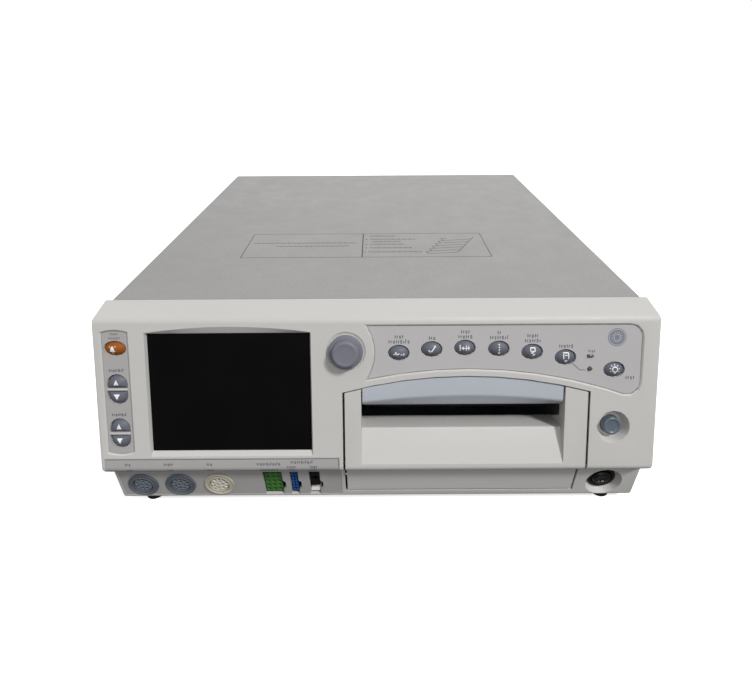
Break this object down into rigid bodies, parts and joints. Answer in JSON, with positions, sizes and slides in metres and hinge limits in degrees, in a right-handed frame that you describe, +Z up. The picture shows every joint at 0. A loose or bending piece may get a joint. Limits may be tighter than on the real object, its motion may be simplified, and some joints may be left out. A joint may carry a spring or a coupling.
{
  "type": "cardiotocograph",
  "caption": "Bench fetal and maternal monitor: leaning front with display, keys and trim knob, a chart recorder behind a drop-down door, and transducer sockets under the lip.",
  "frame": {"origin": "on the table, under the middle of the overall box", "axes": "+Z up, +Y towards the back, +X to the viewer's right; the front faces -Y"},
  "size_m": [0.426, 0.445, 0.17],
  "materials": {
    "bezel_plastic": "fine moulded texture, warm off-white",
    "cover_paint": "fine speckled powder coat",
    "sheet_steel": "plated sheet",
    "overlay_film": "printed film, satin",
    "key_slate": "satin",
    "alarm_amber": "satin",
    "visor_grey": "smooth",
    "display_glass": "gloss, dark",
    "lamp_lens": "clear tinted",
    "module_plastic": "plain",
    "board_green": "solder mask",
    "machined_steel": "machined",
    "ivory_plastic": "satin",
    "socket_grey": "satin",
    "socket_green": "satin",
    "socket_blue": "satin",
    "black_plastic": "satin",
    "supply_case": "plain",
    "roller_rubber": "matte"
  },
  "bodies": {
    "console": {"front_bezel": "bezel_plastic", "top_cover": "cover_paint", "chassis_tray": "sheet_steel", "rear_panel": "sheet_steel", "recorder_frame": "sheet_steel", "connector_overlay": "overlay_film", "left_keypad_overlay": "overlay_film", "right_keypad_overlay": "overlay_film", "recorder_visor": "visor_grey", "display_window": "display_glass", "bar_lamp": "lamp_lens", "dome_lamp": "lamp_lens", "display_module": "module_plastic", "cuff_pump": "module_plastic", "main_board": "board_green", "left_key_board": "board_green", "right_key_board": "board_green", "door_hinge_pin_left": "machined_steel", "door_hinge_pin_right": "machined_steel", "earth_stud": "machined_steel", "data_port": "machined_steel", "transducer_socket_3": "ivory_plastic", "transducer_socket_1": "socket_grey", "transducer_socket_2": "socket_grey", "scalp_socket": "socket_green", "oximetry_socket": "socket_blue", "encoder_body": "black_plastic", "cuff_socket": "black_plastic", "power_switch_body": "black_plastic", "recorder_motor": "black_plastic", "print_head": "black_plastic", "mains_inlet": "black_plastic", "speaker": "black_plastic", "power_supply": "supply_case", "foot_front_left": "roller_rubber", "foot_front_right": "roller_rubber", "foot_rear_left": "roller_rubber", "foot_rear_right": "roller_rubber"},
    "encoder_rotor": {"encoder_rotor": "ivory_plastic"},
    "trim_knob": {"trim_knob": "key_slate", "encoder_shaft": "machined_steel"},
    "recorder_door": {"recorder_door": "bezel_plastic"},
    "release_button": {"release_button": "visor_grey"},
    "latch_bolt": {"latch_bolt": "machined_steel"},
    "platen_roller": {"platen_roller": "roller_rubber", "drive_gear": "ivory_plastic"},
    "motor_pinion": {"motor_pinion": "machined_steel"},
    "power_rocker": {"power_rocker": "black_plastic"},
    "alarm_key": {"alarm_key": "alarm_amber"},
    "display_volume_up_key": {"display_volume_up_key": "key_slate"},
    "display_volume_down_key": {"display_volume_down_key": "key_slate"},
    "audio_volume_up_key": {"audio_volume_up_key": "key_slate"},
    "audio_volume_down_key": {"audio_volume_down_key": "key_slate"},
    "pressure_key": {"pressure_key": "key_slate"},
    "test_key": {"test_key": "key_slate"},
    "mark_key": {"mark_key": "key_slate"},
    "reference_key": {"reference_key": "key_slate"},
    "paper_key": {"paper_key": "key_slate"},
    "record_key": {"record_key": "key_slate"},
    "light_key": {"light_key": "key_slate"}
  },
  "joints": [
    {"name": "knob_turn", "type": "hinge", "parent": "console", "child": "encoder_rotor", "pos_m": [-0.023, -0.19054, 0.14232], "axis": [0, -0.9373, 0.3486], "continuous": true},
    {"name": "knob_push", "type": "slide", "parent": "encoder_rotor", "child": "trim_knob", "axis": [0, 0.9373, -0.3486], "range_m": [0, 0.0006], "stiffness_N_per_m": 1000},
    {"name": "door_hinge", "type": "hinge", "parent": "console", "child": "recorder_door", "pos_m": [0.0679, -0.20474, 0.03], "axis": [1, 0, 0], "range_deg": [0, 70]},
    {"name": "release_push", "type": "slide", "parent": "console", "child": "release_button", "axis": [0, 0.9373, -0.3486], "range_m": [0, 0.003], "stiffness_N_per_m": 300},
    {"name": "bolt_slide", "type": "slide", "parent": "console", "child": "latch_bolt", "axis": [1, 0, 0], "range_m": [0, 0.003]},
    {"name": "roller_turn", "type": "hinge", "parent": "console", "child": "platen_roller", "pos_m": [0.0655, -0.17041, 0.08169], "axis": [1, 0, 0], "continuous": true},
    {"name": "pinion_turn", "type": "hinge", "parent": "console", "child": "motor_pinion", "pos_m": [0.15, -0.14792, 0.07333], "axis": [1, 0, 0], "continuous": true},
    {"name": "power_rock", "type": "hinge", "parent": "console", "child": "power_rocker", "pos_m": [0.186, -0.20489, 0.02541], "axis": [1, 0, 0], "range_deg": [-14, 0]},
    {"name": "alarm_key_press", "type": "slide", "parent": "console", "child": "alarm_key", "axis": [0, 0.9373, -0.3486], "range_m": [0, 0.0008], "stiffness_N_per_m": 300},
    {"name": "display_volume_up_key_press", "type": "slide", "parent": "console", "child": "display_volume_up_key", "axis": [0, 0.9373, -0.3486], "range_m": [0, 0.0008], "stiffness_N_per_m": 300},
    {"name": "display_volume_down_key_press", "type": "slide", "parent": "console", "child": "display_volume_down_key", "axis": [0, 0.9373, -0.3486], "range_m": [0, 0.0008], "stiffness_N_per_m": 300},
    {"name": "audio_volume_up_key_press", "type": "slide", "parent": "console", "child": "audio_volume_up_key", "axis": [0, 0.9373, -0.3486], "range_m": [0, 0.0008], "stiffness_N_per_m": 300},
    {"name": "audio_volume_down_key_press", "type": "slide", "parent": "console", "child": "audio_volume_down_key", "axis": [0, 0.9373, -0.3486], "range_m": [0, 0.0008], "stiffness_N_per_m": 300},
    {"name": "pressure_key_press", "type": "slide", "parent": "console", "child": "pressure_key", "axis": [0, 0.9373, -0.3486], "range_m": [0, 0.0008], "stiffness_N_per_m": 300},
    {"name": "test_key_press", "type": "slide", "parent": "console", "child": "test_key", "axis": [0, 0.9373, -0.3486], "range_m": [0, 0.0008], "stiffness_N_per_m": 300},
    {"name": "mark_key_press", "type": "slide", "parent": "console", "child": "mark_key", "axis": [0, 0.9373, -0.3486], "range_m": [0, 0.0008], "stiffness_N_per_m": 300},
    {"name": "reference_key_press", "type": "slide", "parent": "console", "child": "reference_key", "axis": [0, 0.9373, -0.3486], "range_m": [0, 0.0008], "stiffness_N_per_m": 300},
    {"name": "paper_key_press", "type": "slide", "parent": "console", "child": "paper_key", "axis": [0, 0.9373, -0.3486], "range_m": [0, 0.0008], "stiffness_N_per_m": 300},
    {"name": "record_key_press", "type": "slide", "parent": "console", "child": "record_key", "axis": [0, 0.9373, -0.3486], "range_m": [0, 0.0008], "stiffness_N_per_m": 300},
    {"name": "light_key_press", "type": "slide", "parent": "console", "child": "light_key", "axis": [0, 0.9373, -0.3486], "range_m": [0, 0.0008], "stiffness_N_per_m": 300}
  ],
  "couplings": [
    {"joint": "bolt_slide", "follows": "release_push", "ratio": 1},
    {"joint": "pinion_turn", "follows": "roller_turn", "ratio": -3}
  ]
}
